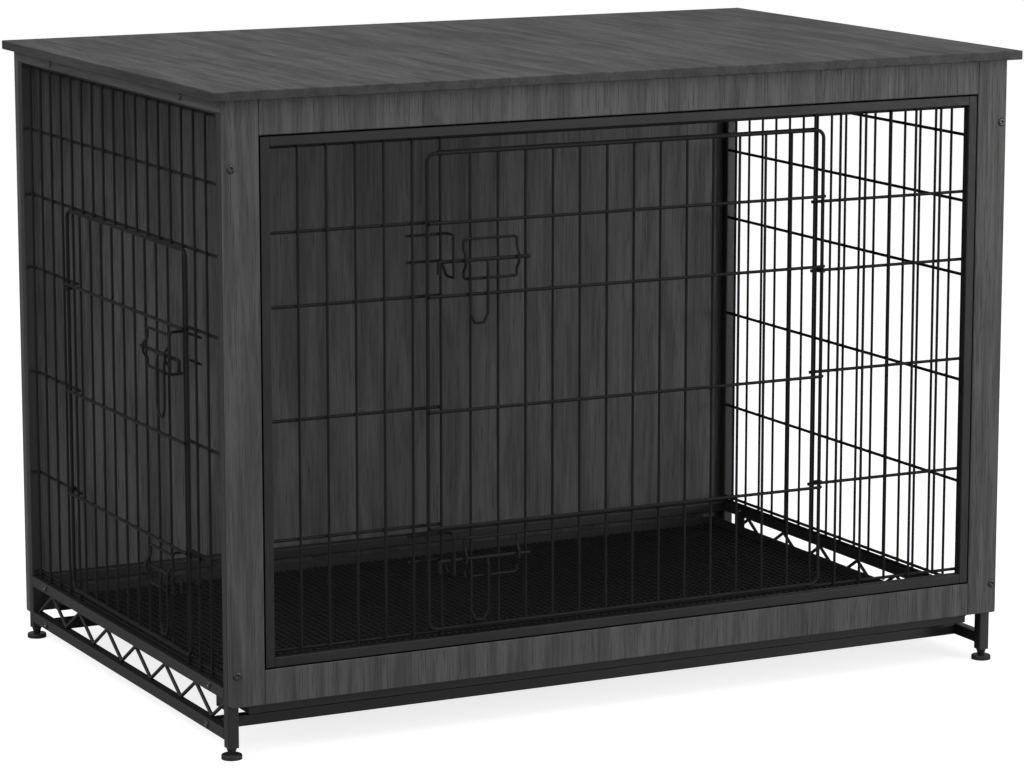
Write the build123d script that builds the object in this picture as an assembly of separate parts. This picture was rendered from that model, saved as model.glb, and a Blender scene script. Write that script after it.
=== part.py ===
from build123d import *
import os

os.makedirs("parts", exist_ok=True)

# An end-table dog crate: a wooden top, front frame and back panel on a welded
# steel base, closed by wire panels with a door in the front and one in the left side.
# X runs along the length, the front faces -Y, Z is up from the floor.
# The origin is on the floor under the middle of the tabletop. All sizes are in mm.

# Tabletop
top_length = 970.0
top_depth = 630.0
top_thickness = 10.0
total_height = 698.5
side_overhang = 14.25
front_overhang = 9.0
edge_rounding = 0.8

# Front wooden frame
front_board = 11.4
stile_width = 37.25
rail_height = 37.0
front_bottom_z = 58.0
dowel_radius = 3.0
dowel_length = 30.0
dowel_inset = 9.0

# Wooden pieces under the top and at the back
header_height = 14.0
header_width = 12.5
batten_width = 24.0
batten_front_gap = 95.2
batten_back_gap = 93.6
rear_batten_depth = 12.5
back_board = 11.0
back_bottom_z = 29.0

# Square steel tube of the base
tube = 12.4
tube_wall = 1.2
tube_rounding = 1.4
upper_rail_z = 62.0
lower_bar_z = 19.0
leg_bottom_z = 12.0
cross_bar_front_gap = 40.2
cross_bar_back_gap = 48.6
plug_length = 18.0

# Zigzag wire between the lower bar and the upper rail
truss_wire = 2.0
truss_front_gap = 3.1
truss_back_gap = 7.8
truss_waves = 7
truss_bend = 5.0

# Levelling feet
foot_radius = 11.0
foot_height = 5.0
foot_rounding = 1.5
foot_neck_low_radius = 3.6
foot_neck_high_radius = 5.6
foot_gap = 0.3
foot_stem_radius = 3.0
foot_stem_length = 26.0
foot_clearance = 0.05
leg_insert_length = 30.0

# Square tube trim in the front opening
trim_width = 12.0
trim_wall = 1.2
trim_rounding = 1.1
trim_recess = 0.6

# Wires of the panels and doors
wire_pitch = 32.4
upright_wire = 1.5
level_wire = 1.75
door_frame_wire = 2.0
door_corner = 9.0
panel_inset = 6.5
door_inset = 2.5
front_opening_half_pitches = 7
front_opening_top_gap = 17.0
front_panel_bottom_gap = 4.6
front_door_top_gap = 17.5
front_door_bottom_gap = 9.0
door_latch_overlap = 17.0
door_hinge_overlap = 8.2

# Level wires in the front: the upper two are measured down from the trim, the lower two
# up from it. The fixed panel's short wires stand a little off the door's, on the left
# and on the right
front_level_drops = (90.0, 167.2)
front_level_rises = (243.0, 118.5)
left_level_steps = (0.0, 0.0, 3.7, 2.4)
right_level_steps = (-6.8, -5.8, 3.7, 2.4)

# Side panels: level wires are measured down from the header, the lowest up from the rail
side_top_gap = 6.5
side_double_gap = 5.0
side_level_drops = (76.5, 151.5, 236.0, 357.5)
side_level_rise = 124.6
side_opening_first = 3
side_opening_after = 4
side_door_top_gap = 2.0
side_door_bottom_gap = 13.6

# Latches: heights of the bolts, and places along the door measured from the fixed
# upright at the latch edge of the opening, positive towards the hinges
front_bolt_drop = 130.7
front_bolt_rise = 83.0
side_bolt_drop = 270.5
side_bolt_rise = 92.6
bolt_wire = 2.0
latch_wire = 1.5
latch_gap = 0.4
bolt_step = 1.35
bolt_tail_u = -6.7
bolt_end_u = 99.8
bolt_tail_drop = 13.0
keeper_start_u = -38.2
keeper_front_u = 8.8
keeper_top = 28.0
keeper_dip = 17.0
guide_start_u = 23.2
guide_end_u = 85.4
guide_top = 22.0
guide_bottom = 20.0
guide_clearance = 1.0
guide_slope = 7.0
handle_start_u = 29.2
handle_end_u = 49.7
handle_lean = 8.0
handle_straight = 56.5
handle_drop = 66.5
handle_shoulder = 5.0
wire_bend = 3.0

# Hinge sleeves of the doors
sleeve_clearance = 0.06
sleeve_wall = 1.6
sleeve_height = 4.0
sleeve_step = 5.0

# Tray, its brackets and the mesh that lies in it
tray_side_gap = 14.95
tray_front_gap = 8.6
tray_back_gap = 14.0
tray_bottom_z = 44.5
tray_height = 12.5
tray_wall = 1.5
mesh_wire = 0.8
mesh_pitch = 9.0
mesh_margin = 1.0
bracket_width = 20.0
bracket_thickness = 1.5
bracket_overlap = 9.05
bracket_front_gap = 39.0
bracket_back_gap = 42.4

# Screws
screw_radius = 2.0
screw_head_radius = 4.6
screw_head_height = 1.6
stile_screw_drop = 69.5
stile_screw_rise = 34.0
stile_screw_length = 18.0
header_screw_length = 30.0
bracket_screw_length = 16.0
bracket_screw_rise = 7.4
bar_screw_length = 28.0
back_screw_length = 20.0
top_screw_length = 19.0
top_screw_side_gap = 78.35
back_screw_side_gap = 158.35
back_screw_rise = 35.6
back_screw_drop = 64.5

# Places that follow from the sizes above
top_z = total_height - top_thickness
front_y = -top_depth / 2 + front_overhang
back_y = top_depth / 2 - back_board
side_x = top_length / 2 - side_overhang
frame_y = front_y + front_board
header_z = top_z - header_height
opening_x = side_x - stile_width
opening_bottom_z = front_bottom_z + rail_height
opening_top_z = top_z - rail_height
leg_centre_x = side_x - tube / 2
leg_centres_y = (frame_y + tube / 2, back_y - tube / 2)
rail_front_y = frame_y + tube
rail_back_y = back_y - tube
inner_x = side_x - tube
trim_x = opening_x - trim_width
trim_bottom_z = opening_bottom_z + trim_width
trim_top_z = opening_top_z - trim_width
rail_top_z = upper_rail_z + tube
cross_bar_front_y = rail_front_y + cross_bar_front_gap
cross_bar_back_y = rail_back_y - cross_bar_back_gap
header_screw_y = (rail_front_y + batten_front_gap, rail_back_y - batten_back_gap)
bracket_y = (rail_front_y + bracket_front_gap, rail_back_y - bracket_back_gap)
stile_screw_z = (top_z - stile_screw_drop, front_bottom_z + stile_screw_rise)
top_screw_x = (top_screw_side_gap - inner_x, 0.0, inner_x - top_screw_side_gap)
back_screw_x = (back_screw_side_gap - inner_x, 0.0, inner_x - back_screw_side_gap)
back_screw_low_z = rail_top_z + back_screw_rise
back_screw_high_z = header_z - back_screw_drop
back_screw_z = (back_screw_low_z, (back_screw_low_z + back_screw_high_z) / 2, back_screw_high_z)
tray_half_width = inner_x - tray_side_gap
tray_front_y = frame_y + tray_front_gap
tray_back_y = back_y - tray_back_gap
bracket_reach = tray_side_gap + bracket_overlap
level_inset = panel_inset + upright_wire + level_wire
door_upright_inset = door_inset - door_frame_wire + upright_wire
door_level_inset = door_inset - door_frame_wire - level_wire
door_weld_inset = door_inset - door_frame_wire - latch_wire
bolt_inset = door_level_inset - bolt_step
keeper_inset = bolt_inset - bolt_wire - latch_gap - latch_wire
keeper_weld_inset = panel_inset + upright_wire + latch_wire
handle_inset = door_level_inset - level_wire - latch_gap - latch_wire

# Heights in the front
front_edge = front_opening_half_pitches * wire_pitch
front_opening_top_z = trim_top_z - front_opening_top_gap
front_door_top_z = trim_top_z - front_door_top_gap
front_door_bottom_z = trim_bottom_z + front_door_bottom_gap
front_door_level_z = [trim_top_z - drop for drop in front_level_drops]
front_door_level_z += [trim_bottom_z + rise for rise in front_level_rises]
front_level_left_z = [z + step for z, step in zip(front_door_level_z, left_level_steps)]
front_level_right_z = [z + step for z, step in zip(front_door_level_z, right_level_steps)]
front_bolt_z = (trim_top_z - front_bolt_drop, trim_bottom_z + front_bolt_rise)
front_sleeve_z = (front_door_level_z[1] - sleeve_step, front_door_level_z[-1] + sleeve_step)

# Heights in the sides, and the even grid of uprights between the legs
side_top_z = header_z - side_top_gap
side_bottom_z = rail_top_z + level_wire
side_level_z = [header_z - drop for drop in side_level_drops]
side_level_z.append(rail_top_z + side_level_rise)
side_lintel_z = side_level_z[1]
side_door_level_z = side_level_z[2:]
side_door_top_z = side_lintel_z - side_door_top_gap
side_door_bottom_z = rail_top_z + side_door_bottom_gap
side_bolt_z = (header_z - side_bolt_drop, rail_top_z + side_bolt_rise)
side_sleeve_z = (side_door_level_z[0] - sleeve_step, side_door_level_z[-1] + sleeve_step)
side_uprights = int((rail_back_y - rail_front_y - 2 * upright_wire) / wire_pitch) + 1
side_opening_last = side_uprights - 1 - side_opening_after
side_first_y = (rail_front_y + rail_back_y - (side_uprights - 1) * wire_pitch) / 2
side_edge_front = side_first_y + side_opening_first * wire_pitch
side_edge_back = side_first_y + side_opening_last * wire_pitch


def block(x0, x1, y0, y1, z0, z1):
    """A box between two corners."""
    middle = Pos((x0 + x1) / 2, (y0 + y1) / 2, (z0 + z1) / 2)
    return middle * Box(x1 - x0, y1 - y0, z1 - z0)


def board(x0, x1, y0, y1, z0, z1):
    """A wooden board with its long edges lightly broken."""
    piece = block(x0, x1, y0, y1, z0, z1)
    return chamfer(piece.edges(), edge_rounding)


def hollow(x0, x1, y0, y1, z0, z1, along, wall, rounding):
    """A square tube with rounded edges, open at both ends, along "x", "y" or "z"."""
    shrink = {axis: 0.0 if axis == along else wall for axis in "xyz"}
    axes = {"x": Axis.X, "y": Axis.Y, "z": Axis.Z}
    outer = block(x0, x1, y0, y1, z0, z1)
    outer = fillet(outer.edges().filter_by(axes[along]), rounding)
    inner = block(
        x0 + shrink["x"],
        x1 - shrink["x"],
        y0 + shrink["y"],
        y1 - shrink["y"],
        z0 + shrink["z"],
        z1 - shrink["z"],
    )
    return outer - inner


def base_tube(x0, x1, y0, y1, z0, z1, along):
    """A tube of the steel base."""
    return hollow(x0, x1, y0, y1, z0, z1, along, tube_wall, tube_rounding)


def rod(start, end, radius):
    """A straight round wire between two points."""
    line = Vector(*end) - Vector(*start)
    place = Plane(origin=start, z_dir=line)
    return Solid.make_cylinder(radius, line.length, place)


def bent(points, radius, bend, closed=False):
    """A round wire along straight runs with tangent bends."""
    path = FilletPolyline(*points, radius=bend, close=closed)
    section = Plane(origin=path @ 0, z_dir=path % 0) * Circle(radius)
    return sweep(section, path=path)


def screw(head_centre, direction, length):
    """A pan-head screw; head_centre is on the seat, direction is the way it drives in."""
    inward = Vector(*direction)
    seat = Vector(*head_centre)
    shank = rod(tuple(seat), tuple(seat + inward * length), screw_radius)
    head = rod(tuple(seat - inward * screw_head_height), tuple(seat), screw_head_radius)
    return head + shank


def cut_all(piece, tools):
    """The piece with the room for each tool taken out."""
    for tool in tools:
        piece = piece - tool
    return piece


def save(piece, name):
    """Write one named piece, or a group of like pieces, to its own file."""
    shape = Compound(children=list(piece)) if isinstance(piece, list) else piece
    shape.label = name
    export_step(shape, f"parts/{name}.step")


def front_at(along, inset, z):
    """A point by its place along the front and how far it lies behind the front face."""
    return (along, front_y + inset, z)


def left_at(along, inset, z):
    """A point by its place along the left side and how far it lies inside that face."""
    return (-side_x + inset, along, z)


def right_at(along, inset, z):
    """The same on the right side."""
    return (side_x - inset, along, z)


# Screws and dowels come first, because the pieces they join are cut to take them

def make_stile_screws():
    seats = [(side * leg_centre_x, front_y, z) for side in (-1, 1) for z in stile_screw_z]
    return [screw(seat, (0, 1, 0), stile_screw_length) for seat in seats]


def make_header_screws():
    z = header_z + header_height / 2
    screws = []
    for side in (-1, 1):
        for y in header_screw_y:
            screws.append(screw((side * side_x, y, z), (-side, 0, 0), header_screw_length))
    return screws


def make_bracket_screws():
    z = upper_rail_z + bracket_screw_rise
    screws = []
    for side in (-1, 1):
        for y in bracket_y:
            screws.append(screw((side * side_x, y, z), (-side, 0, 0), bracket_screw_length))
    return screws


def make_bar_screws():
    z = lower_bar_z + tube / 2
    screws = []
    for side in (-1, 1):
        for y in (cross_bar_front_y + tube / 2, cross_bar_back_y + tube / 2):
            screws.append(screw((side * side_x, y, z), (-side, 0, 0), bar_screw_length))
    return screws


def make_back_screws():
    rear = top_depth / 2 - screw_head_height
    seats = [(side * leg_centre_x, rear, z) for side in (-1, 1) for z in back_screw_z]
    seats += [(x, rear, header_z + header_height / 2) for x in back_screw_x]
    seats += [(x, rear, upper_rail_z + tube / 2) for x in back_screw_x]
    return [screw(seat, (0, -1, 0), back_screw_length) for seat in seats]


def make_top_screws():
    seats = [(x, y, header_z) for x in top_screw_x for y in header_screw_y]
    return [screw(seat, (0, 0, 1), top_screw_length) for seat in seats]


def make_dowels():
    dowels = []
    for side in (-1, 1):
        for low_z in (front_bottom_z, opening_top_z):
            for z in (low_z + dowel_inset, low_z + rail_height - dowel_inset):
                start = (side * opening_x - dowel_length / 2, front_y + front_board / 2, z)
                end = (side * opening_x + dowel_length / 2, front_y + front_board / 2, z)
                dowels.append(rod(start, end, dowel_radius))
    return dowels


stile_screws = make_stile_screws()
header_screws = make_header_screws()
bracket_screws = make_bracket_screws()
bar_screws = make_bar_screws()
back_screws = make_back_screws()
top_screws = make_top_screws()
dowels = make_dowels()


# Wooden pieces

def make_tabletop():
    slab = board(
        -top_length / 2, top_length / 2, -top_depth / 2, top_depth / 2, top_z, total_height
    )
    return cut_all(slab, top_screws)


def make_stile(side):
    x0, x1 = sorted((side * opening_x, side * side_x))
    stile = board(x0, x1, front_y, frame_y, front_bottom_z, top_z)
    return cut_all(stile, stile_screws + dowels)


def make_front_rail(z0):
    rail = board(-opening_x, opening_x, front_y, frame_y, z0, z0 + rail_height)
    return cut_all(rail, dowels)


def make_header(side):
    x0, x1 = sorted((side * (side_x - header_width), side * side_x))
    header = board(x0, x1, frame_y, back_y, header_z, top_z)
    return cut_all(header, header_screws)


def make_batten(y):
    reach = side_x - header_width
    batten = board(-reach, reach, y - batten_width / 2, y + batten_width / 2, header_z, top_z)
    return cut_all(batten, header_screws + top_screws)


def make_rear_batten():
    reach = side_x - header_width
    batten = board(-reach, reach, back_y - rear_batten_depth, back_y, header_z, top_z)
    return cut_all(batten, back_screws)


def make_back_panel():
    panel = board(-side_x, side_x, back_y, top_depth / 2, back_bottom_z, top_z)
    return cut_all(panel, back_screws)


# Steel base

def make_leg(side, centre_y):
    x0, x1 = sorted((side * inner_x, side * side_x))
    y0 = centre_y - tube / 2
    leg = base_tube(x0, x1, y0, y0 + tube, leg_bottom_z, header_z, "z")
    return cut_all(leg, stile_screws + back_screws)


def make_side_bar(side, z0):
    x0, x1 = sorted((side * inner_x, side * side_x))
    bar = base_tube(x0, x1, rail_front_y, rail_back_y, z0, z0 + tube, "y")
    return cut_all(bar, bracket_screws + bar_screws)


def make_truss(side):
    low = lower_bar_z + tube + truss_wire
    high = upper_rail_z - truss_wire
    first_y = rail_front_y + truss_front_gap
    pitch = (rail_back_y - truss_back_gap - first_y) / (truss_waves - 0.5)
    points = []
    for wave in range(truss_waves):
        top_y = first_y + wave * pitch
        points.append((side * leg_centre_x, top_y, high))
        points.append((side * leg_centre_x, top_y + pitch / 2, low))
    return bent(points, truss_wire, truss_bend)


def make_rear_rail():
    rail = base_tube(-inner_x, inner_x, rail_back_y, back_y, upper_rail_z, rail_top_z, "x")
    return cut_all(rail, back_screws)


def make_cross_bar(y0):
    return base_tube(-inner_x, inner_x, y0, y0 + tube, lower_bar_z, lower_bar_z + tube, "x")


def make_bar_plugs():
    plugs = []
    for side in (-1, 1):
        x0, x1 = sorted((side * inner_x, side * (inner_x - plug_length)))
        for y0 in (cross_bar_front_y, cross_bar_back_y):
            plug = block(
                x0,
                x1,
                y0 + tube_wall,
                y0 + tube - tube_wall,
                lower_bar_z + tube_wall,
                lower_bar_z + tube - tube_wall,
            )
            plugs.append(cut_all(plug, bar_screws))
    return plugs


# Feet

def make_leg_inserts():
    inserts = []
    half = tube / 2 - tube_wall
    bore = foot_stem_radius + foot_clearance
    for side in (-1, 1):
        for y in leg_centres_y:
            x = side * leg_centre_x
            top = leg_bottom_z + leg_insert_length
            insert = block(x - half, x + half, y - half, y + half, leg_bottom_z, top)
            hole = rod((x, y, leg_bottom_z), (x, y, top), bore)
            inserts.append(insert - hole)
    return inserts


def make_foot(side, y):
    x = side * leg_centre_x
    pad = rod((x, y, 0), (x, y, foot_height), foot_radius)
    pad = fillet(pad.edges().sort_by(Axis.Z)[-1], foot_rounding)
    neck_height = leg_bottom_z - foot_gap - foot_height
    neck_place = Plane(origin=(x, y, foot_height))
    neck = Solid.make_cone(foot_neck_low_radius, foot_neck_high_radius, neck_height, neck_place)
    stem = rod((x, y, foot_height), (x, y, foot_height + foot_stem_length), foot_stem_radius)
    return pad + neck + stem


# Square tube trim around the front opening

def make_trim_upright(side):
    x0, x1 = sorted((side * trim_x, side * opening_x))
    y0 = front_y + trim_recess
    z0, z1 = opening_bottom_z, opening_top_z
    return hollow(x0, x1, y0, frame_y, z0, z1, "z", trim_wall, trim_rounding)


def make_trim_rail(z0):
    y0 = front_y + trim_recess
    z1 = z0 + trim_width
    return hollow(-trim_x, trim_x, y0, frame_y, z0, z1, "x", trim_wall, trim_rounding)


# Wire panels

def make_front_panel():
    bottom = trim_bottom_z + front_panel_bottom_gap
    top = trim_top_z - level_wire
    wires = []
    last = int((trim_x - 2 * upright_wire) // wire_pitch)
    for side, level_z in ((-1, front_level_left_z), (1, front_level_right_z)):
        for step in range(front_opening_half_pitches, last + 1):
            x = side * step * wire_pitch
            low = front_at(x, panel_inset, bottom - level_wire)
            high = front_at(x, panel_inset, trim_top_z)
            wires.append(rod(low, high, upright_wire))
        for z in level_z:
            inner = front_at(side * (front_edge - upright_wire), level_inset, z)
            wires.append(rod(inner, front_at(side * trim_x, level_inset, z), level_wire))
    for z in (bottom, top):
        wires.append(
            rod(front_at(-trim_x, level_inset, z), front_at(trim_x, level_inset, z), level_wire)
        )
    reach = front_edge + upright_wire
    z = front_opening_top_z
    wires.append(rod(front_at(-reach, level_inset, z), front_at(reach, level_inset, z), level_wire))
    return wires


def make_side_panel(place, with_door):
    wires = []
    upper_bottom = side_bottom_z + side_double_gap
    for step in range(side_uprights):
        y = side_first_y + step * wire_pitch
        over_door = with_door and side_opening_first < step < side_opening_last
        low = side_lintel_z - level_wire if over_door else rail_top_z
        high = side_top_z + level_wire
        wires.append(rod(place(y, panel_inset, low), place(y, panel_inset, high), upright_wire))
    for z in [side_top_z, upper_bottom, side_bottom_z] + side_level_z:
        crosses_door = with_door and z in side_door_level_z
        spans = [(rail_front_y, rail_back_y)]
        if crosses_door:
            spans = [
                (rail_front_y, side_edge_front + upright_wire),
                (side_edge_back - upright_wire, rail_back_y),
            ]
        for y0, y1 in spans:
            wires.append(rod(place(y0, level_inset, z), place(y1, level_inset, z), level_wire))
    return wires


def make_door(place, latch_edge, hinge_edge, bottom, top, uprights, levels):
    """A wire door: a rounded frame, uprights in its plane and level wires in front."""
    start = latch_edge - door_latch_overlap
    end = hinge_edge + door_hinge_overlap
    corners = [
        place(start, door_inset, bottom),
        place(end, door_inset, bottom),
        place(end, door_inset, top),
        place(start, door_inset, top),
    ]
    wires = [bent(corners, door_frame_wire, door_corner, closed=True)]
    for along in uprights:
        low = place(along, door_upright_inset, bottom + door_frame_wire)
        high = place(along, door_upright_inset, top - door_frame_wire)
        wires.append(rod(low, high, upright_wire))
    for z in levels:
        wires.append(
            rod(place(start, door_level_inset, z), place(end, door_level_inset, z), level_wire)
        )
    return wires


def make_sleeves(place, hinge_edge, heights):
    """Sleeves on the fixed upright, in which the door's own end wire turns."""
    sleeves = []
    bore = door_frame_wire + sleeve_clearance
    axis_along = hinge_edge + door_hinge_overlap
    for z in heights:
        low = z - sleeve_height / 2
        high = z + sleeve_height / 2
        axis_low = place(axis_along, door_inset, low)
        axis_high = place(axis_along, door_inset, high)
        link = Polyline(
            place(hinge_edge, panel_inset - upright_wire, low),
            place(hinge_edge, panel_inset, low),
            place(axis_along, door_inset + bore + sleeve_wall, low),
            place(axis_along, door_inset + bore, low),
            close=True,
        )
        tab = extrude(make_face(link), sleeve_height, dir=(0, 0, 1))
        fixed_low = place(hinge_edge, panel_inset, low)
        fixed_high = place(hinge_edge, panel_inset, high)
        sleeve = rod(axis_low, axis_high, bore + sleeve_wall) + tab
        sleeve = sleeve - rod(axis_low, axis_high, bore)
        sleeves.append(sleeve - rod(fixed_low, fixed_high, upright_wire))
    return sleeves


# Latches

def make_keeper(place, edge, z):
    """A wire loop on the fixed panel that stands out through the door's gap."""
    front = edge + keeper_front_u
    start = edge + keeper_start_u
    points = [
        place(start, keeper_weld_inset, z + keeper_top),
        place(front, keeper_weld_inset, z + keeper_top),
        place(front, keeper_inset, z + keeper_top),
        place(front, keeper_inset, z - keeper_dip),
        place(front, keeper_weld_inset, z - keeper_dip),
        place(edge + upright_wire, keeper_weld_inset, z),
        place(start, keeper_weld_inset, z),
    ]
    return bent(points, latch_wire, wire_bend)


def make_guide(place, edge, z):
    """A wire loop on the door whose sides stand out round the bolt."""
    start = edge + guide_start_u
    end = edge + guide_end_u
    near = bolt_wire + latch_wire + guide_clearance
    far = near + guide_slope
    points = [
        place(start, door_weld_inset, z + guide_top),
        place(end, door_weld_inset, z + guide_top),
        place(end, door_weld_inset, z + far),
        place(end, keeper_inset, z + near),
        place(end, keeper_inset, z - near),
        place(end, door_weld_inset, z - far),
        place(end, door_weld_inset, z - guide_bottom),
        place(start, door_weld_inset, z - guide_bottom),
        place(start, door_weld_inset, z - far),
        place(start, keeper_inset, z - near),
        place(start, keeper_inset, z + near),
        place(start, door_weld_inset, z + far),
    ]
    return bent(points, latch_wire, wire_bend, closed=True)


def make_bolt(place, edge, z):
    """A sliding bolt with its tail bent down and a handle loop hanging from it."""
    tail = edge + bolt_tail_u
    slide = bent(
        [
            place(tail, bolt_inset, z - bolt_tail_drop),
            place(tail, bolt_inset, z),
            place(edge + bolt_end_u, bolt_inset, z),
        ],
        bolt_wire,
        wire_bend,
    )
    first = edge + handle_start_u
    second = edge + handle_end_u
    handle = bent(
        [
            place(first, bolt_inset, z),
            place(first, handle_inset, z - handle_lean),
            place(first, handle_inset, z - handle_straight),
            place(first + handle_shoulder, handle_inset, z - handle_drop),
            place(second - handle_shoulder, handle_inset, z - handle_drop),
            place(second, handle_inset, z - handle_straight),
            place(second, handle_inset, z - handle_lean),
            place(second, bolt_inset, z),
        ],
        latch_wire,
        wire_bend,
    )
    return slide + handle


# Tray

def make_tray():
    tray = block(
        -tray_half_width,
        tray_half_width,
        tray_front_y,
        tray_back_y,
        tray_bottom_z,
        tray_bottom_z + tray_height,
    )
    return tray - block(
        -tray_half_width + tray_wall,
        tray_half_width - tray_wall,
        tray_front_y + tray_wall,
        tray_back_y - tray_wall,
        tray_bottom_z + tray_wall,
        tray_bottom_z + tray_height,
    )


def make_floor_mesh():
    """Welded fine wires: one layer on the tray's bottom, the other across it."""
    half_x = tray_half_width - tray_wall - mesh_margin
    front = tray_front_y + tray_wall + mesh_margin
    back = tray_back_y - tray_wall - mesh_margin
    low = tray_bottom_z + tray_wall + mesh_wire
    high = low + 2 * mesh_wire
    along_x = int(2 * half_x // mesh_pitch)
    along_y = int((back - front) // mesh_pitch)
    first_x = -along_x * mesh_pitch / 2
    first_y = (front + back - along_y * mesh_pitch) / 2
    wires = []
    for step in range(along_x + 1):
        x = first_x + step * mesh_pitch
        wires.append(rod((x, front, high), (x, back, high), mesh_wire))
    for step in range(along_y + 1):
        y = first_y + step * mesh_pitch
        wires.append(rod((-half_x, y, low), (half_x, y, low), mesh_wire))
    return wires


def make_brackets():
    brackets = []
    ledge_z = tray_bottom_z - bracket_thickness
    for side in (-1, 1):
        for y in bracket_y:
            y0 = y - bracket_width / 2
            y1 = y + bracket_width / 2
            x0, x1 = sorted((side * inner_x, side * (inner_x - bracket_thickness)))
            leg = block(x0, x1, y0, y1, ledge_z, rail_top_z)
            x0, x1 = sorted((side * inner_x, side * (inner_x - bracket_reach)))
            ledge = block(x0, x1, y0, y1, ledge_z, tray_bottom_z)
            brackets.append(cut_all(leg + ledge, bracket_screws))
    return brackets


# Write every piece

SIDES = {"left": -1, "right": 1}

save(make_tabletop(), "tabletop")
save(make_front_rail(opening_top_z), "front_rail_top")
save(make_front_rail(front_bottom_z), "front_rail_bottom")
save(dowels, "front_rail_dowels")
save(make_batten(header_screw_y[0]), "top_batten_front")
save(make_batten(header_screw_y[1]), "top_batten_back")
save(make_rear_batten(), "top_batten_rear")
save(make_back_panel(), "back_panel")
save(make_rear_rail(), "rear_floor_rail")
save(make_cross_bar(cross_bar_front_y), "cross_bar_front")
save(make_cross_bar(cross_bar_back_y), "cross_bar_back")
save(make_bar_plugs(), "cross_bar_plugs")
save(make_leg_inserts(), "leg_inserts")
save(make_trim_rail(opening_top_z - trim_width), "front_trim_top")
save(make_trim_rail(opening_bottom_z), "front_trim_bottom")
for name, side in SIDES.items():
    save(make_stile(side), f"front_stile_{name}")
    save(make_header(side), f"side_header_{name}")
    save(make_side_bar(side, upper_rail_z), f"side_upper_rail_{name}")
    save(make_side_bar(side, lower_bar_z), f"side_lower_bar_{name}")
    save(make_truss(side), f"side_truss_{name}")
    save(make_trim_upright(side), f"front_trim_{name}")
    for end, y in zip(("front", "back"), leg_centres_y):
        save(make_leg(side, y), f"leg_{end}_{name}")
        save(make_foot(side, y), f"foot_{end}_{name}")

front_steps = range(1 - front_opening_half_pitches, front_opening_half_pitches)
front_door_uprights = [step * wire_pitch for step in front_steps]
side_steps = range(side_opening_first + 1, side_opening_last)
side_door_uprights = [side_first_y + step * wire_pitch for step in side_steps]

save(make_front_panel(), "front_wire_panel")
save(
    make_door(
        front_at,
        -front_edge,
        front_edge,
        front_door_bottom_z,
        front_door_top_z,
        front_door_uprights,
        front_door_level_z,
    ),
    "front_door",
)
save(make_sleeves(front_at, front_edge, front_sleeve_z), "front_hinge_sleeves")
save([make_keeper(front_at, -front_edge, z) for z in front_bolt_z], "front_keepers")
save([make_guide(front_at, -front_edge, z) for z in front_bolt_z], "front_bolt_guides")
save(make_bolt(front_at, -front_edge, front_bolt_z[0]), "front_bolt_upper")
save(make_bolt(front_at, -front_edge, front_bolt_z[1]), "front_bolt_lower")

save(make_side_panel(left_at, True), "side_wire_panel_left")
save(make_side_panel(right_at, False), "side_wire_panel_right")
save(
    make_door(
        left_at,
        side_edge_front,
        side_edge_back,
        side_door_bottom_z,
        side_door_top_z,
        side_door_uprights,
        side_door_level_z,
    ),
    "side_door",
)
save(make_sleeves(left_at, side_edge_back, side_sleeve_z), "side_hinge_sleeves")
save([make_keeper(left_at, side_edge_front, z) for z in side_bolt_z], "side_keepers")
save([make_guide(left_at, side_edge_front, z) for z in side_bolt_z], "side_bolt_guides")
save(make_bolt(left_at, side_edge_front, side_bolt_z[0]), "side_bolt_upper")
save(make_bolt(left_at, side_edge_front, side_bolt_z[1]), "side_bolt_lower")

save(make_tray(), "tray")
save(make_floor_mesh(), "floor_mesh")
save(make_brackets(), "tray_brackets")

save(stile_screws, "stile_screws")
save(header_screws, "header_screws")
save(bracket_screws, "bracket_screws")
save(bar_screws, "cross_bar_screws")
save(back_screws, "back_panel_screws")
save(top_screws, "tabletop_screws")
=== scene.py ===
import math

import bpy
import numpy as np
from mathutils import Euler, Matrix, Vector


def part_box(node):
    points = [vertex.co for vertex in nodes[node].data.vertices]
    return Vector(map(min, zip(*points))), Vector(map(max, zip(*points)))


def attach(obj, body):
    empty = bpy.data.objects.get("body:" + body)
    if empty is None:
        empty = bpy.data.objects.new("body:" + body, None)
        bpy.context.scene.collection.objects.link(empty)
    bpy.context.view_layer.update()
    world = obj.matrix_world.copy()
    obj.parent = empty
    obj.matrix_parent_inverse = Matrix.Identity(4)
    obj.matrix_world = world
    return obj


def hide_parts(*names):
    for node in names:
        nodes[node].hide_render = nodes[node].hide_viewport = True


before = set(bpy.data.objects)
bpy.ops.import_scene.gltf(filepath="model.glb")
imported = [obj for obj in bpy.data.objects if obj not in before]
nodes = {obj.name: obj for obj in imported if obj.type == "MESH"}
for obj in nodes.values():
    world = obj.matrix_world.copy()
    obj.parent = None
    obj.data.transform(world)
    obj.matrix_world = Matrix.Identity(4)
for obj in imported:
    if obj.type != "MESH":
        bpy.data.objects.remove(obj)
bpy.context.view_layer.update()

# Camera, fitted to the corners of the tabletop, the front opening and the feet
PICTURE_WIDTH_PX = 1024
FOCAL_PX = 3925.75
SENSOR_MM = 36.0
CAMERA_PLACE = (-1.98939, -3.94321, 1.11580)
CAMERA_HEADING_DEG = 26.869
CAMERA_DOWN_DEG = 10.386

# Colours as linear light
TOP_WOOD = 0.041
FRONT_WOOD = 0.046
BACK_WOOD = 0.060
TUBE_BLACK = 0.0085
WIRE_BLACK = 0.0055
MESH_BLACK = 0.008
TRAY_BLACK = 0.010
FOOT_BLACK = 0.012
WARM_RED = 1.01
WARM_BLUE = 0.985

# Wood: noise scales, and how far figure and fibres are drawn out along the grain
FIGURE_SCALE = 46.0
FIBRE_SCALE = 420.0
PORE_SCALE = 900.0
PATCH_SCALE = 3.2
FIGURE_DRAW = 0.09
FIBRE_DRAW = 0.028
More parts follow.
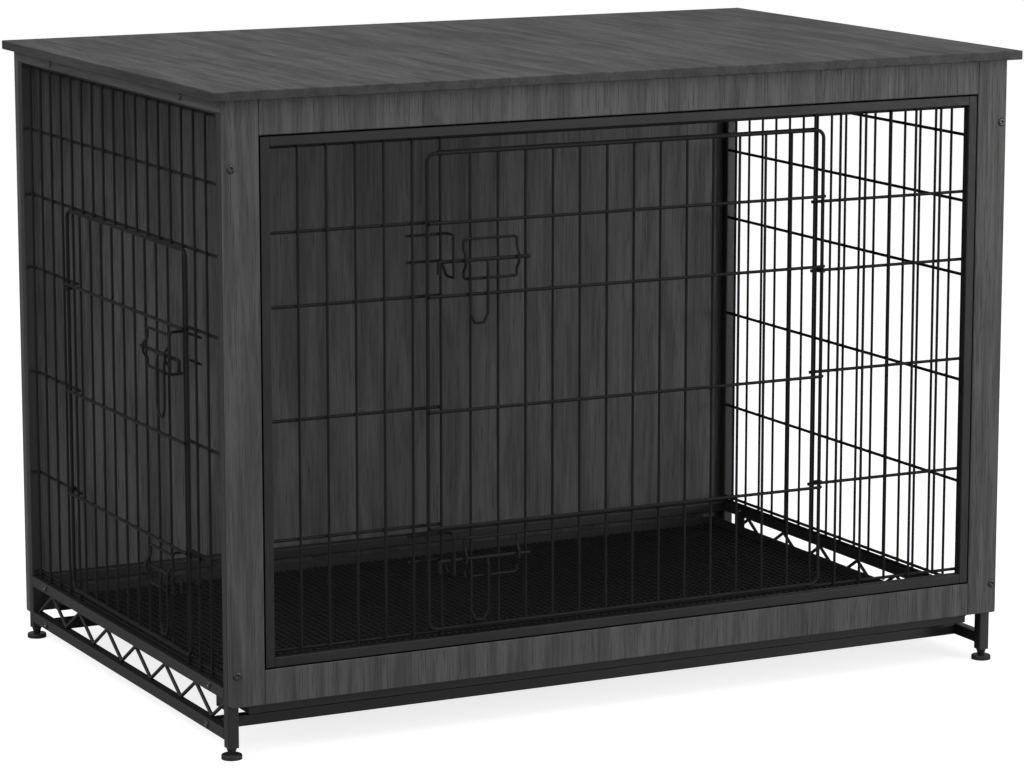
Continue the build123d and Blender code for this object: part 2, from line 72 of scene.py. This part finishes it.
# Wood: what each pattern adds to the grey, and how far the grey swings at a contrast of 1
STREAK_SHARE = 0.42
FIGURE_SHARE = 0.44
CLOUD_SHARE = 0.14
DARK_SWING = 0.48
LIGHT_SWING = 0.46
WOOD_GLOSS = 0.32
# Tabletop: planks side by side along X, and painted shade on the upright edge faces
PLANK_WIDTH = 0.097
SEAM_SHIFT = 10.0
SEAM_START = 0.488
SEAM_FULL = 0.497
SEAM_TONE = 0.55
UPRIGHT_PAINTED_SHADE_TONE = 0.42

# Powder coat and moulded plastic
COAT_CLOUD_SHARE = 0.65
COAT_SPECK_SHARE = 0.35
COAT_DARKEST = 0.78
COAT_LIGHTEST = 1.25
# Painted shade on the trim's outer rim: its darkest tone, and the distances over which it fades
# out
RIM_PAINTED_SHADE_TONE = 0.2
RIM_SHADE_DARK_TO = 0.0014
RIM_SHADE_CLEAR_FROM = 0.0024
PLASTIC_GLOSS = 0.35


# Node helpers

class Shader:
    """A small writer of shader nodes around one Principled shader."""

    def __init__(self, name):
        self.material = bpy.data.materials.new(name)
        self.material.use_nodes = True
        self.tree = self.material.node_tree
        self.surface = self.tree.nodes["Principled BSDF"]
        self.place = self.add("ShaderNodeTexCoord").outputs["Object"]

    def add(self, kind, **settings):
        node = self.tree.nodes.new(kind)
        for key, value in settings.items():
            setattr(node, key, value)
        return node

    def link(self, source, target):
        self.tree.links.new(source, target)

    def stretched(self, scale):
        """Object coordinates stretched by a scale for each axis."""
        node = self.add("ShaderNodeMapping")
        node.inputs["Scale"].default_value = scale
        self.link(self.place, node.inputs["Vector"])
        return node.outputs["Vector"]

    def noise(self, vector, scale, detail=4.0, roughness=0.55, distortion=0.0):
        node = self.add("ShaderNodeTexNoise")
        node.inputs["Scale"].default_value = scale
        node.inputs["Detail"].default_value = detail
        node.inputs["Roughness"].default_value = roughness
        node.inputs["Distortion"].default_value = distortion
        self.link(vector, node.inputs["Vector"])
        return node.outputs["Fac"]

    def remap(self, value, low, high, to_low=0.0, to_high=1.0):
        node = self.add("ShaderNodeMapRange", clamp=True)
        limits = {"From Min": low, "From Max": high, "To Min": to_low, "To Max": to_high}
        for name, number in limits.items():
            node.inputs[name].default_value = number
        self.link(value, node.inputs["Value"])
        return node.outputs["Result"]

    def math(self, operation, first, second):
        node = self.add("ShaderNodeMath", operation=operation)
        for socket, value in zip(node.inputs, (first, second)):
            if isinstance(value, (int, float)):
                socket.default_value = value
            else:
                self.link(value, socket)
        return node.outputs["Value"]

    def tint(self, value, dark, light):
        """A grey between two levels, a touch warmer where it is light."""
        node = self.add("ShaderNodeMix", data_type="RGBA")
        node.inputs["A"].default_value = (dark, dark, dark, 1.0)
        node.inputs["B"].default_value = (light * WARM_RED, light, light * WARM_BLUE, 1.0)
        self.link(value, node.inputs["Factor"])
        return node.outputs["Result"]

    def bump(self, height, strength, distance):
        node = self.add("ShaderNodeBump")
        node.inputs["Strength"].default_value = strength
        node.inputs["Distance"].default_value = distance
        self.link(height, node.inputs["Height"])
        self.link(node.outputs["Normal"], self.surface.inputs["Normal"])


def drawn_out(grain_axis, share):
    """A scale of 1 across the grain and less along it."""
    scale = [1.0, 1.0, 1.0]
    scale["xyz".index(grain_axis)] = share
    return scale


def wood(name, tone, grain_axis, plank_width=0.0, contrast=1.0):
    """Charcoal stained board: broad figure, long fibres and dark pores drawn out along the
    grain, and faint clouding. A plank width adds seams, and painted shade that darkens the
    upright edge faces."""
    shader = Shader(name)
    figure_place = shader.stretched(drawn_out(grain_axis, FIGURE_DRAW))
    fibre_place = shader.stretched(drawn_out(grain_axis, FIBRE_DRAW))
    broad = shader.noise(figure_place, FIGURE_SCALE, 5.0, 0.62, 0.5)
    fibre = shader.noise(fibre_place, FIBRE_SCALE, 6.0, 0.7)
    pore = shader.noise(fibre_place, PORE_SCALE, 2.0, 0.5)
    patch = shader.noise(shader.place, PATCH_SCALE, 3.0)
    streak = shader.math("MULTIPLY", shader.remap(fibre, 0.34, 0.66), STREAK_SHARE)
    figure = shader.math("MULTIPLY", shader.remap(broad, 0.42, 0.58), FIGURE_SHARE)
    cloud = shader.math("MULTIPLY", shader.remap(patch, 0.35, 0.65), CLOUD_SHARE)
    mixed = shader.math("ADD", shader.math("ADD", streak, figure), cloud)
    pores = shader.remap(pore, 0.30, 0.42)
    value = shader.math("MULTIPLY", mixed, pores)
    height = shader.math("ADD", shader.math("MULTIPLY", fibre, 0.6), pores)
    if plank_width:
        seams = plank_seams(shader, plank_width)
        value = shader.math("MULTIPLY", value, seams)
        # Painted shade: the upright edge faces of the board are darkened.
        value = shader.math("MULTIPLY", value, upright_painted_shade(shader))
        height = shader.math("ADD", height, seams)
    dark = tone * (1.0 - DARK_SWING * contrast)
    light = tone * (1.0 + LIGHT_SWING * contrast)
    shader.link(shader.tint(value, dark, light), shader.surface.inputs["Base Color"])
    shader.link(shader.remap(fibre, 0.3, 0.7, 0.62, 0.48), shader.surface.inputs["Roughness"])
    shader.surface.inputs["Specular IOR Level"].default_value = WOOD_GLOSS
    shader.bump(height, 0.35, 0.0005)
    return shader.material


def plank_seams(shader, width):
    """1 on a plank and lower on the thin line between two planks."""
    split = shader.add("ShaderNodeSeparateXYZ")
    shader.link(shader.place, split.inputs["Vector"])
    shifted = shader.math("ADD", split.outputs["X"], SEAM_SHIFT + width / 2)
    part = shader.math("FRACT", shader.math("DIVIDE", shifted, width), 0.0)
    centred = shader.math("ABSOLUTE", shader.math("SUBTRACT", part, 0.5), 0.0)
    return shader.remap(centred, SEAM_START, SEAM_FULL, 1.0, SEAM_TONE)


def upright_painted_shade(shader):
    """1 on a level face and lower on an upright one: painted shade on the upright edge faces of a
    board.
    """
    facing = shader.add("ShaderNodeTexCoord").outputs["Normal"]
    split = shader.add("ShaderNodeSeparateXYZ")
    shader.link(facing, split.inputs["Vector"])
    level = shader.math("ABSOLUTE", split.outputs["Z"], 0.0)
    return shader.remap(level, 0.3, 0.8, UPRIGHT_PAINTED_SHADE_TONE, 1.0)


def trim_rim_painted_shade(shader):
    """Painted shade for the trim: 0 on its outer rim, where it meets the wooden frame and shade
    falls in the crease, and 1 further in.
    """
    low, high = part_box("front_trim_right")
    split = shader.add("ShaderNodeSeparateXYZ")
    shader.link(shader.place, split.inputs["Vector"])
    across = shader.math("SUBTRACT", high.x, shader.math("ABSOLUTE", split.outputs["X"], 0.0))
    above = shader.math("SUBTRACT", split.outputs["Z"], low.z)
    below = shader.math("SUBTRACT", high.z, split.outputs["Z"])
    nearest = shader.math("MINIMUM", across, shader.math("MINIMUM", above, below))
    return shader.remap(nearest, RIM_SHADE_DARK_TO, RIM_SHADE_CLEAR_FROM)


def powder_coat(name, tone, roughness=0.48, gloss=0.4, with_rim_painted_shade=False):
    """Black powder coat: fine orange peel, faint clouding and a soft uneven sheen.
    With the rim shade on, painted shade darkens the trim's outer rim and takes its sheen away.
    """
    shader = Shader(name)
    cloud = shader.noise(shader.place, 14.0, 4.0)
    peel = shader.noise(shader.place, 1500.0, 2.0)
    speck = shader.noise(shader.place, 260.0, 3.0)
    clouding = shader.math("MULTIPLY", shader.remap(cloud, 0.3, 0.7), COAT_CLOUD_SHARE)
    specks = shader.math("MULTIPLY", shader.remap(speck, 0.35, 0.65), COAT_SPECK_SHARE)
    value = shader.math("ADD", clouding, specks)
    dark = tone * COAT_DARKEST
    shader.surface.inputs["Specular IOR Level"].default_value = gloss
    if with_rim_painted_shade:
        # Painted shade: a dark rim where the trim meets the wooden frame, with no sheen there.
        rim_shade = trim_rim_painted_shade(shader)
        value = shader.math("MULTIPLY", value, rim_shade)
        dark = tone * RIM_PAINTED_SHADE_TONE
        sheen = shader.math("MULTIPLY", rim_shade, gloss)
        shader.link(sheen, shader.surface.inputs["Specular IOR Level"])
    colour = shader.tint(value, dark, tone * COAT_LIGHTEST)
    shader.link(colour, shader.surface.inputs["Base Color"])
    spread = shader.remap(speck, 0.3, 0.7, roughness - 0.06, roughness + 0.08)
    shader.link(spread, shader.surface.inputs["Roughness"])
    shader.bump(peel, 0.22, 0.0002)
    return shader.material


def moulded(name, tone, roughness=0.6):
    """Moulded plastic with a fine leather-like grain."""
    shader = Shader(name)
    grain = shader.noise(shader.place, 1100.0, 3.0)
    cloud = shader.noise(shader.place, 9.0, 3.0)
    colour = shader.tint(shader.remap(cloud, 0.3, 0.7), tone * 0.85, tone * 1.2)
    shader.link(colour, shader.surface.inputs["Base Color"])
    spread = shader.remap(grain, 0.3, 0.7, roughness - 0.05, roughness + 0.05)
    shader.link(spread, shader.surface.inputs["Roughness"])
    shader.surface.inputs["Specular IOR Level"].default_value = PLASTIC_GLOSS
    shader.bump(grain, 0.3, 0.0002)
    return shader.material


top_wood = wood("charcoal_tabletop_wood", TOP_WOOD, "y", PLANK_WIDTH, contrast=1.8)
upright_wood = wood("charcoal_upright_wood", FRONT_WOOD, "z", contrast=1.25)
header_wood = wood("charcoal_header_wood", FRONT_WOOD, "y")
batten_wood = wood("charcoal_batten_wood", FRONT_WOOD, "x")
back_wood = wood("charcoal_back_wood", BACK_WOOD, "z", contrast=1.15)
tube_coat = powder_coat("black_tube_coat", TUBE_BLACK)
# The trim's coat carries a painted shade on its outer rim.
trim_coat = powder_coat("black_trim_coat", TUBE_BLACK, 0.5, 0.3, with_rim_painted_shade=True)
wire_coat = powder_coat("black_wire_coat", WIRE_BLACK, 0.58, 0.14)
mesh_coat = powder_coat("black_mesh_coat", MESH_BLACK, 0.55, 0.25)
screw_coat = powder_coat("black_screw_coat", TUBE_BLACK * 0.6, 0.28, 0.6)
tray_plastic = moulded("black_tray_plastic", TRAY_BLACK)
foot_plastic = moulded("black_foot_plastic", FOOT_BLACK, 0.5)


def material_for(node):
    """The material of a CAD node, from its name."""
    if node == "tabletop":
        return top_wood
    if node == "back_panel":
        return back_wood
    if node.startswith(("front_stile", "front_rail")):
        return upright_wood
    if node.startswith("side_header"):
        return header_wood
    if node.startswith("top_batten"):
        return batten_wood
    if node.endswith("screws"):
        return screw_coat
    if node.startswith("foot") or node in ("leg_inserts", "cross_bar_plugs"):
        return foot_plastic
    if node == "tray":
        return tray_plastic
    if node == "floor_mesh":
        return mesh_coat
    if node.startswith("front_trim"):
        return trim_coat
    if any(word in node for word in ("panel", "door", "keeper", "guide", "bolt", "sleeve")):
        return wire_coat
    return tube_coat


for name, node in nodes.items():
    node.data.materials.clear()
    node.data.materials.append(material_for(name))


# Numpy surfaces

def piece(name, points, faces, material):
    """One smooth-shaded mesh object at the origin from arrays of points and faces."""
    mesh = bpy.data.meshes.new(name)
    places = np.asarray(points, float).reshape(-1, 3).tolist()
    mesh.from_pydata(places, [], [tuple(map(int, face)) for face in faces])
    mesh.polygons.foreach_set("use_smooth", np.full(len(mesh.polygons), True))
    mesh.materials.append(material)
    mesh.update()
    thing = bpy.data.objects.new(name, mesh)
    bpy.context.scene.collection.objects.link(thing)
    return thing


def ring_faces(rings, around):
    """Quads between stacked rings of points, and one face on the first and on the last ring."""
    ring = np.arange(rings - 1)[:, None] * around
    step = np.arange(around)[None, :]
    following = (step + 1) % around
    quads = np.stack(
        [ring + step, ring + following, ring + around + following, ring + around + step], -1
    ).reshape(-1, 4)
    faces = quads.tolist()
    faces.append(list(range(around))[::-1])
    faces.append(list(range((rings - 1) * around, rings * around)))
    return faces


def turned(profile, around, hexagon=None):
    """A profile of (radius, height) carried round the Z axis. A ring marked in hexagon is
    six-sided, and its radius is then the distance from the axis to a side."""
    profile = np.asarray(profile, float)
    angle = np.arange(around) * (2 * math.pi / around)
    radius = np.repeat(profile[:, :1], around, 1)
    if hexagon is not None:
        half_side = math.pi / 6
        from_middle = (angle + half_side) % (2 * half_side) - half_side
        radius[np.asarray(hexagon, bool)] *= 1.0 / np.cos(from_middle)
    points = np.stack(
        [radius * np.cos(angle), radius * np.sin(angle), np.repeat(profile[:, 1:], around, 1)], -1
    )
    return points.reshape(-1, 3), ring_faces(len(profile), around)


def aimed(points, seat, direction):
    """Points about the Z axis turned so that Z follows the direction, and moved to the seat."""
    turn = Vector((0, 0, 1)).rotation_difference(Vector(direction)).to_matrix()
    return np.asarray(points) @ np.array(turn).T + np.asarray(seat)


def merged(parts):
    """Several (points, faces) joined into one."""
    points, faces, start = [], [], 0
    for part_points, part_faces in parts:
        points.append(part_points)
        faces += [[start + index for index in face] for face in part_faces]
        start += len(part_points)
    return np.concatenate(points), faces


def screw_shape(head_radius, head_height, shank_radius, length):
    """A button-head screw: a domed head with a hexagon socket, on a plain shank. Z points
    out of the head."""
    socket = head_radius * SOCKET_SHARE
    dome = [
        (shank_radius, -length),
        (shank_radius, 0.0),
        (head_radius * 0.97, 0.0),
        (head_radius, head_height * 0.12),
        (head_radius * 0.96, head_height * 0.5),
        (head_radius * 0.84, head_height * 0.82),
        (head_radius * 0.66, head_height),
        (socket * 1.16, head_height),
        (socket, head_height * 0.94),
        (socket, head_height * 0.25),
        (socket * 0.2, head_height * 0.1),
    ]
    hexagon = [False] * 7 + [True] * 3 + [False]
    return turned(dome, SCREW_AROUND, hexagon)


# Screws: seated where the boxes of the solids put them, and on the back where the table says

HEAD_RADIUS = 0.0046
HEAD_HEIGHT = 0.0016
SHANK_RADIUS = 0.002
SOCKET_SHARE = 0.42
SCREW_AROUND = 24
SCREW_LENGTHS = {
    "stile_screws": 0.018,
    "header_screws": 0.030,
    "bracket_screws": 0.016,
    "cross_bar_screws": 0.028,
    "back_panel_screws": 0.020,
}
BACK_SCREW_X = (-0.300, 0.0, 0.300)
BACK_SCREW_Z = (0.110, 0.360, 0.610)


def screw_group(node, seats, outward):
    """Every screw of one node, with its seat and the way its head faces."""
    length = SCREW_LENGTHS[node]
    shape_points, shape_faces = screw_shape(HEAD_RADIUS, HEAD_HEIGHT, SHANK_RADIUS, length)
    parts = [(aimed(shape_points, seat, way), shape_faces) for seat, way in zip(seats, outward)]
    thing = piece(node.replace("screws", "socket_screws"), *merged(parts), screw_coat)
    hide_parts(node)
    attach(thing, "crate")


def side_seats(node):
    """Seats on both sides of the crate at the two ends of a node's box."""
    low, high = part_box(node)
    z = (low.z + high.z) / 2
    seats, outward = [], []
    for side in (-1, 1):
        for y in (low.y + HEAD_RADIUS, high.y - HEAD_RADIUS):
            seats.append((side * (high.x - HEAD_HEIGHT), y, z))
            outward.append((side, 0, 0))
    return seats, outward


def stile_seats():
    """The lower and the upper seat on each front stile."""
    low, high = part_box("stile_screws")
    x = high.x - HEAD_RADIUS
    y = low.y + HEAD_HEIGHT
    heights = (low.z + HEAD_RADIUS, high.z - HEAD_RADIUS)
    places = [(side * x, y, z) for side in (-1, 1) for z in heights]
    return places, [(0, -1, 0)] * len(places)


def back_seats():
    """Three seats down each end of the back panel, and three along its top and its floor rail."""
    low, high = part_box("back_panel_screws")
    x = high.x - HEAD_RADIUS
    y = high.y - HEAD_HEIGHT
    places = [(side * x, y, z) for side in (-1, 1) for z in BACK_SCREW_Z]
    heights = (low.z + HEAD_RADIUS, high.z - HEAD_RADIUS)
    places += [(x, y, z) for x in BACK_SCREW_X for z in heights]
    return places, [(0, 1, 0)] * len(places)


screw_group("stile_screws", *stile_seats())
screw_group("back_panel_screws", *back_seats())
for screws in ("header_screws", "bracket_screws", "cross_bar_screws"):
    screw_group(screws, *side_seats(screws))


# Weld beads: a small bulge on each side of an upright where it crosses a level wire

X_AXIS, Y_AXIS, Z_AXIS = 0, 1, 2
BEAD_RADIUS = 0.0016
BEAD_AROUND = 6
BEAD_RINGS_DEG = (-75.0, -28.0, 28.0, 75.0)
BEAD_MARGIN = 0.0004
WIRE_SHORTEST = 0.03
WIRE_THICKEST = 0.006


def bead_shape(radius):
    """A low round bead: rings of a sphere at four heights, closed near both poles."""
    heights = np.radians(BEAD_RINGS_DEG)
    profile = np.stack([radius * np.cos(heights), radius * np.sin(heights)], -1)
    return turned(profile, BEAD_AROUND)


def wire_boxes(node, long_axis):
    """The boxes of a node's straight wires along one axis, each wire being a separate shell."""
    mesh = nodes[node].data
    points = np.empty(len(mesh.vertices) * 3)
    mesh.vertices.foreach_get("co", points)
    points = points.reshape(-1, 3)
    edges = np.empty(len(mesh.edges) * 2, int)
    mesh.edges.foreach_get("vertices", edges)
    edges = edges.reshape(-1, 2)
    group = np.arange(len(points))
    while True:
        lowest = np.minimum(group[edges[:, 0]], group[edges[:, 1]])
        following = group.copy()
        np.minimum.at(following, edges[:, 0], lowest)
        np.minimum.at(following, edges[:, 1], lowest)
        following = following[following]
        if np.array_equal(following, group):
            break
        group = following
    boxes = []
    for index in np.unique(group):
        shell = points[group == index]
        low, high = shell.min(0), shell.max(0)
        thickness = np.delete(high - low, long_axis).max()
        if (high - low)[long_axis] > WIRE_SHORTEST and thickness < WIRE_THICKEST:
            boxes.append((low, high))
    return boxes


def within(value, low, high):
    """Whether a value lies between two others, give or take the bead margin."""
    return low - BEAD_MARGIN < value < high + BEAD_MARGIN


def weld_beads(node, along_axis, body):
    """Two beads at every crossing of an upright with a level wire of one node, one on each
    side of the upright. In depth they sit halfway between the middles of the two wires."""
    uprights = wire_boxes(node, Z_AXIS)
    levels = wire_boxes(node, along_axis)
    depth_axis = 1 - along_axis
    bead_points, bead_faces = bead_shape(BEAD_RADIUS)
    parts = []
    for up_low, up_high in uprights:
        for level_low, level_high in levels:
            along = (up_low[along_axis] + up_high[along_axis]) / 2
            height = (level_low[Z_AXIS] + level_high[Z_AXIS]) / 2
            reached = within(along, level_low[along_axis], level_high[along_axis])
            if not reached or not within(height, up_low[Z_AXIS], up_high[Z_AXIS]):
                continue
            seat = np.zeros(3)
            seat[along_axis] = along
            seat[Z_AXIS] = height
            up_depth = (up_low[depth_axis] + up_high[depth_axis]) / 2
            level_depth = (level_low[depth_axis] + level_high[depth_axis]) / 2
            seat[depth_axis] = (up_depth + level_depth) / 2
            for side in (-1, 1):
                moved = seat.copy()
                moved[along_axis] += side * BEAD_RADIUS
                parts.append((bead_points + moved, bead_faces))
    thing = piece(f"{node}_weld_beads", *merged(parts), wire_coat)
    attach(thing, body)


weld_beads("front_wire_panel", X_AXIS, "crate")
weld_beads("front_door", X_AXIS, "front_door_leaf")
weld_beads("side_wire_panel_left", Y_AXIS, "crate")
weld_beads("side_wire_panel_right", Y_AXIS, "crate")
weld_beads("side_door", Y_AXIS, "side_door_leaf")


# Floor, background, lamps and camera

FLOOR_HALF_SIZE = 30.0
FLOOR_DROP = 0.0005
FLOOR_GREY = 0.42
FLOOR_GLOW = 0.80
SURROUND_LIGHT = 0.45
FLOOR_CORNERS = ((-1, -1), (1, -1), (1, 1), (-1, 1))


def studio():
    """A pale floor that keeps the shadow, a white surround for the camera and soft lamps."""
    floor_mesh = bpy.data.meshes.new("studio_floor")
    corners = [(x * FLOOR_HALF_SIZE, y * FLOOR_HALF_SIZE, -FLOOR_DROP) for x, y in FLOOR_CORNERS]
    floor_mesh.from_pydata(corners, [], [(0, 1, 2, 3)])
    floor = bpy.data.objects.new("studio_floor", floor_mesh)
    bpy.context.scene.collection.objects.link(floor)
    material = bpy.data.materials.new("studio_floor_white")
    material.use_nodes = True
    tree = material.node_tree
    tree.nodes.clear()
    output = tree.nodes.new("ShaderNodeOutputMaterial")
    diffuse = tree.nodes.new("ShaderNodeBsdfDiffuse")
    diffuse.inputs["Color"].default_value = (FLOOR_GREY, FLOOR_GREY, FLOOR_GREY, 1.0)
    glow = tree.nodes.new("ShaderNodeEmission")
    glow.inputs["Color"].default_value = (1.0, 1.0, 1.0, 1.0)
    seen = tree.nodes.new("ShaderNodeLightPath")
    scaled = tree.nodes.new("ShaderNodeMath")
    scaled.operation = "MULTIPLY"
    scaled.inputs[1].default_value = FLOOR_GLOW
    both = tree.nodes.new("ShaderNodeAddShader")
    tree.links.new(seen.outputs["Is Camera Ray"], scaled.inputs[0])
    tree.links.new(scaled.outputs["Value"], glow.inputs["Strength"])
    tree.links.new(diffuse.outputs["BSDF"], both.inputs[0])
    tree.links.new(glow.outputs["Emission"], both.inputs[1])
    tree.links.new(both.outputs["Shader"], output.inputs["Surface"])
    floor_mesh.materials.append(material)

    world = bpy.data.worlds.new("studio_world")
    bpy.context.scene.world = world
    world.use_nodes = True
    tree = world.node_tree
    tree.nodes.clear()
    output = tree.nodes.new("ShaderNodeOutputWorld")
    seen = tree.nodes.new("ShaderNodeLightPath")
    soft = tree.nodes.new("ShaderNodeBackground")
    soft.inputs["Color"].default_value = (1.0, 1.0, 1.0, 1.0)
    soft.inputs["Strength"].default_value = SURROUND_LIGHT
    white = tree.nodes.new("ShaderNodeBackground")
    white.inputs["Color"].default_value = (1.0, 1.0, 1.0, 1.0)
    white.inputs["Strength"].default_value = 1.0
    mix = tree.nodes.new("ShaderNodeMixShader")
    either = tree.nodes.new("ShaderNodeMath")
    either.operation = "MAXIMUM"
    tree.links.new(seen.outputs["Is Camera Ray"], either.inputs[0])
    tree.links.new(seen.outputs["Is Transmission Ray"], either.inputs[1])
    tree.links.new(either.outputs["Value"], mix.inputs["Fac"])
    tree.links.new(soft.outputs["Background"], mix.inputs[1])
    tree.links.new(white.outputs["Background"], mix.inputs[2])
    tree.links.new(mix.outputs["Shader"], output.inputs["Surface"])

    lamp("key_lamp", (-3.4, -0.9, 2.6), (0.0, 0.0, 0.35), 2.6, 105.0)
    lamp("front_lamp", (2.3, -3.4, 2.2), (0.45, 0.0, 0.5), 2.2, 42.0)
    lamp("low_lamp", (2.7, -3.2, 0.45), (0.2, 0.3, 0.6), 1.2, 50.0)
    lamp("top_lamp", (0.3, -1.7, 2.9), (0.25, -0.35, 0.7), 1.6, 32.0)


def lamp(name, place, target, size, power):
    """A square soft lamp aimed at a point."""
    light = bpy.data.lights.new(name, "AREA")
    light.shape = "SQUARE"
    light.size = size
    light.energy = power
    thing = bpy.data.objects.new(name, light)
    thing.location = place
    thing.rotation_euler = (Vector(target) - Vector(place)).to_track_quat("-Z", "Y").to_euler()
    bpy.context.scene.collection.objects.link(thing)


def camera():
    """The camera of the photograph, level side to side and looking slightly down."""
    lens = bpy.data.cameras.new("photo_camera")
    lens.sensor_fit = "HORIZONTAL"
    lens.sensor_width = SENSOR_MM
    lens.lens = FOCAL_PX / PICTURE_WIDTH_PX * SENSOR_MM
    lens.clip_start = 0.05
    lens.clip_end = 100.0
    thing = bpy.data.objects.new("photo_camera", lens)
    thing.location = CAMERA_PLACE
    thing.rotation_euler = Euler(
        (math.radians(90.0 - CAMERA_DOWN_DEG), 0.0, math.radians(-CAMERA_HEADING_DEG)), "XYZ"
    )
    bpy.context.scene.collection.objects.link(thing)
    bpy.context.scene.camera = thing


studio()
camera()
bpy.context.scene.view_settings.view_transform = "Standard"
